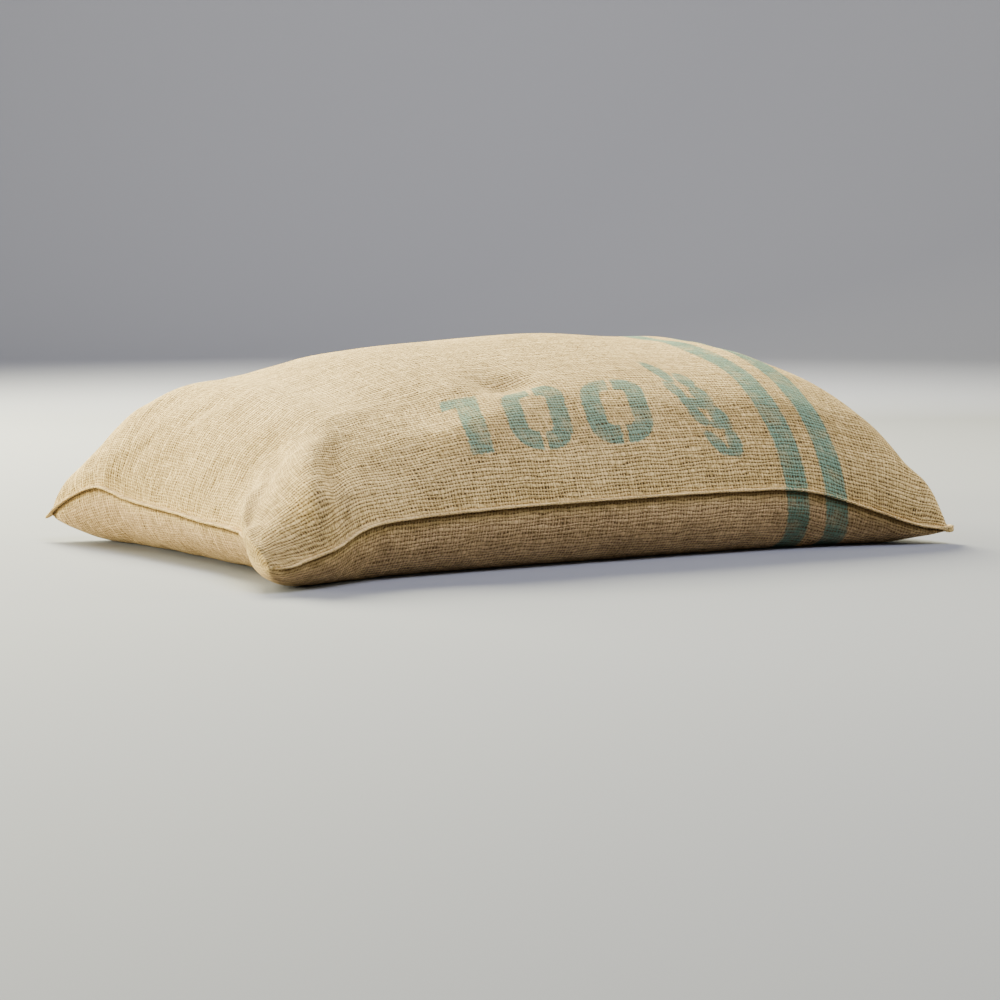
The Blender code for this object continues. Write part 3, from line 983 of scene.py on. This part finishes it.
def close_up(tube):
    """Joins a tube's two long edges, and closes its ends."""
    bpy.ops.object.mode_set(mode="EDIT")
    bpy.ops.mesh.select_all(action="SELECT")
    bpy.ops.mesh.remove_doubles(threshold=1e-7)
    bpy.ops.mesh.select_all(action="DESELECT")
    bpy.ops.mesh.select_mode(type="EDGE")
    bpy.ops.mesh.select_non_manifold()
    bpy.ops.mesh.edge_face_add()
    bpy.ops.mesh.select_all(action="SELECT")
    bpy.ops.mesh.normals_make_consistent(inside=False)
    bpy.ops.object.mode_set(mode="OBJECT")
    bpy.ops.object.shade_smooth()


u, v, seam, even, out = lip_line(STATION_SPACING)
reach, half, lift = lip_size(u, v, even)
section = np.array(LIP_SECTION)
root = LIP_ROOT + np.maximum(0, LIP_HALF_HEIGHT - half)
width = root[:, None] + (reach - root)[:, None] * section[:, 0]
rise = half[:, None] * section[:, 1]
rise += lift[:, None] * np.clip(width / LIP_WIDTH, 0, LIFT_REACHES)
places = seam[:, None] + out[:, None] * width[..., None]
places[..., 2] += rise
lip, i, j = swept("sewn_lip", places)

# The cloth's own measure goes on past the seam, so the stripes cross the lip.
CLOTH_A_METRE = 1.03
ROUND_THE_LIP = 0.003
LIP_THIN, LIP_PALER = 0.14, 0.25  # its yarns are pressed wide, and its tone is made paler
on_end = np.abs(u) > 1 - 1e-6
measure_s = seam[:, 0] * CLOTH_A_METRE
measure_t = np.where(on_end, v * CUT_WIDTH / 2, np.sign(v) * (CUT_WIDTH / 2))
past_s = (width + rise)[i, j]
past_t = width[i, j] + ROUND_THE_LIP * section[j, 1]
lip_s = measure_s[i] + np.where(on_end, np.sign(u), 0)[i] * past_s
lip_t = measure_t[i] + np.where(on_end, 0, np.sign(v))[i] * past_t
lip_map = lip.data.uv_layers.new(name="cloth")
lip_map.data.foreach_set("uv", np.stack([lip_s, lip_t], axis=-1)[corners_of(lip)].ravel())
close_up(lip)
dress(lip, burlap("jute_lip", thin=LIP_THIN, paler=LIP_PALER))
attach(lip, "root")
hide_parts("edge_seam")

# The sewing: one run of jute twine that goes over the lip and back through both panels, a stitch
# every few millimetres, all the way along the lip.

STITCH_PITCH = 0.0052
TWINE_RADIUS = 0.00042
STEPS_A_STITCH = 10
TWINE_SIDES = 4
STITCH_SWAYS = [(0.10, 205, 0), (0.06, 557, 1)]  # shares of a stitch, how often, and from where
STITCH_BITE = 0.0030  # how far inside the seam the twine goes through the cloth
BITE_SWAY, BITES_VARY = 0.0004, 131
PROUD_AT_EDGE, PROUD_ON_TOP = 0.6, 0.7  # shares of the twine's radius that it stands off the lip
TWINE_ROUGHNESS, TWINE_SHINE = 0.85, 0.1
TWINE_DARK = (0.50, 0.34, 0.15, 1)
TWINE_LIGHT = (0.90, 0.66, 0.34, 1)
SHREDS_A_METRE, SHRED_EDGES = 900.0, (0.3, 0.7)
u, v, seam, even, out = lip_line(STITCH_PITCH / STEPS_A_STITCH)
reach, half, lift = lip_size(u, v, even)
sway = sum(share * np.sin(even * often + start) for share, often, start in STITCH_SWAYS)
turn = 2 * pi * (even / STITCH_PITCH + sway)
bite = STITCH_BITE + BITE_SWAY * np.sin(even * BITES_VARY)
middle, spread = (reach - bite) / 2, (reach + bite) / 2 + TWINE_RADIUS * PROUD_AT_EDGE
across = middle + spread * np.cos(turn)
tall = half + TWINE_RADIUS * PROUD_ON_TOP
centre = seam + out * across[:, None]
centre[:, 2] += tall * np.sin(turn) + lift * np.clip(across / LIP_WIDTH, 0, LIFT_REACHES)
ahead = np.gradient(centre, axis=0)
ahead /= np.linalg.norm(ahead, axis=1, keepdims=True)
outward_of_turn = out * np.cos(turn)[:, None]
outward_of_turn[:, 2] += np.sin(turn)
first = outward_of_turn - ahead * (outward_of_turn * ahead).sum(axis=1, keepdims=True)
first /= np.linalg.norm(first, axis=1, keepdims=True)
second = np.cross(ahead, first)
round_twine = np.arange(TWINE_SIDES) / TWINE_SIDES * 2 * pi
ring = (np.cos(round_twine)[:, None] * first[:, None]
        + np.sin(round_twine)[:, None] * second[:, None])
twine = swept("sewing_twine", centre[:, None] + TWINE_RADIUS * ring)[0]
close_up(twine)
twist, shader, fibres = new_material("twine", TWINE_ROUGHNESS, TWINE_SHINE)
shred_sizes = {"Vector": fibres.node("TexCoord", out=3), "Scale": SHREDS_A_METRE, "Detail": 2.0}
shreds = fibres.node("TexNoise", sockets=shred_sizes).fade(*SHRED_EDGES)
shreds.tint(TWINE_DARK, TWINE_LIGHT).into(shader, "Base Color")
dress(twine, twist)
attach(twine, "root")

# The room: a plain floor that turns up into a low wall all round, as a studio's does, with soft
# round lamps and the camera.

FLOOR_RADIUS, FLOOR_SIDES = 4.6, 128
COVE_RADIUS = 1.4
COVE_STEPS = 12
WALL_HEIGHT = 1.0
FLOOR_COLOUR, FLOOR_ROUGHNESS, FLOOR_SHINE = (0.20, 0.20, 0.22, 1), 0.9, 0.5
deselect()
bpy.ops.mesh.primitive_circle_add(vertices=FLOOR_SIDES, radius=FLOOR_RADIUS, fill_type="NGON")
floor = bpy.context.object
floor.name = "floor"
bpy.ops.object.mode_set(mode="EDIT")
bpy.ops.mesh.select_all(action="SELECT")
bpy.ops.mesh.region_to_loop()
turns = [pi / 2 * k / COVE_STEPS for k in range(COVE_STEPS + 1)]
radius = FLOOR_RADIUS
for before, after in zip(turns, turns[1:]):
    wider = radius + COVE_RADIUS * (sin(after) - sin(before))
    higher = COVE_RADIUS * (cos(before) - cos(after))
    bpy.ops.mesh.extrude_region_move(TRANSFORM_OT_translate={"value": (0, 0, higher)})
    bpy.ops.transform.resize(value=(wider / radius, wider / radius, 1))
    radius = wider
bpy.ops.mesh.extrude_region_move(TRANSFORM_OT_translate={"value": (0, 0, WALL_HEIGHT)})
bpy.ops.mesh.select_all(action="SELECT")
bpy.ops.mesh.normals_make_consistent(inside=True)
bpy.ops.object.mode_set(mode="OBJECT")
bpy.ops.object.shade_smooth()
paint, shader, _ = new_material("pale_floor", FLOOR_ROUGHNESS, FLOOR_SHINE)
shader.inputs["Base Color"].default_value = FLOOR_COLOUR
dress(floor, paint)

LAMP_DISTANCE = 3.2
LAMP_SIZE = 1.5
LAMPS_AIM = Vector((0, 0, 0.1))
WARM = (1.0, 0.985, 0.71)
COOL = (0.95, 1.0, 1.24)
BACKDROP_AT = Vector((1.3, 2.1, 1.7))
BACKDROP_BACK = Vector((-0.52, -0.86, 0.25))
BACKDROP_SIZE, BACKDROP_POWER = 2.0, 160
ROOM_LIGHT = 0.06


def lamp(name, at, back, size, power):
    """A lamp at a place, with its back turned in the direction given."""
    deselect()
    bpy.ops.object.light_add(type="AREA", location=at)
    made = bpy.context.object
    made.name = name
    made.data.size = size
    made.data.energy = power
    made.rotation_euler = back.to_track_quat("Z", "Y").to_euler()
    return made.data


def soft_lamp(name, azimuth, elevation, power, colour):
    """A soft round lamp in a direction given in degrees, facing the sack."""
    turn, lift = radians(azimuth), radians(elevation)
    away = Vector((cos(lift) * cos(turn), cos(lift) * sin(turn), sin(lift)))
    light = lamp(name, LAMPS_AIM + LAMP_DISTANCE * away, away, LAMP_SIZE, power)
    light.shape = "DISK"
    light.color = colour


soft_lamp("left", 165, 8, 228, WARM)
soft_lamp("low behind", 110, 22, 270, WARM)
soft_lamp("behind", 85, 42, 500, WARM)
soft_lamp("right", -10, 22, 75, WARM)
soft_lamp("front", -90, 65, 114, COOL)
# One more lamp faces away from the sack and lights the wall behind it.
lamp("backdrop", BACKDROP_AT, BACKDROP_BACK, BACKDROP_SIZE, BACKDROP_POWER)
world = bpy.data.worlds.new("room")
world.use_nodes = True
world.node_tree.nodes["Background"].inputs["Color"].default_value = (*COOL, 1)
world.node_tree.nodes["Background"].inputs["Strength"].default_value = ROOM_LIGHT
bpy.context.scene.world = world

CAMERA_AIM = Vector((0.00342, 0.00043, 0.04840))
CAMERA_AT = Vector((-1.66440, -2.75347, 0.36408))
CAMERA_LENS, FILM_WIDTH = 100.8, 36
deselect()
bpy.ops.object.camera_add(location=CAMERA_AT)
camera = bpy.context.object
camera.data.lens = CAMERA_LENS
camera.data.sensor_width = FILM_WIDTH
camera.rotation_euler = (CAMERA_AIM - CAMERA_AT).to_track_quat("-Z", "Y").to_euler()
bpy.context.scene.camera = camera
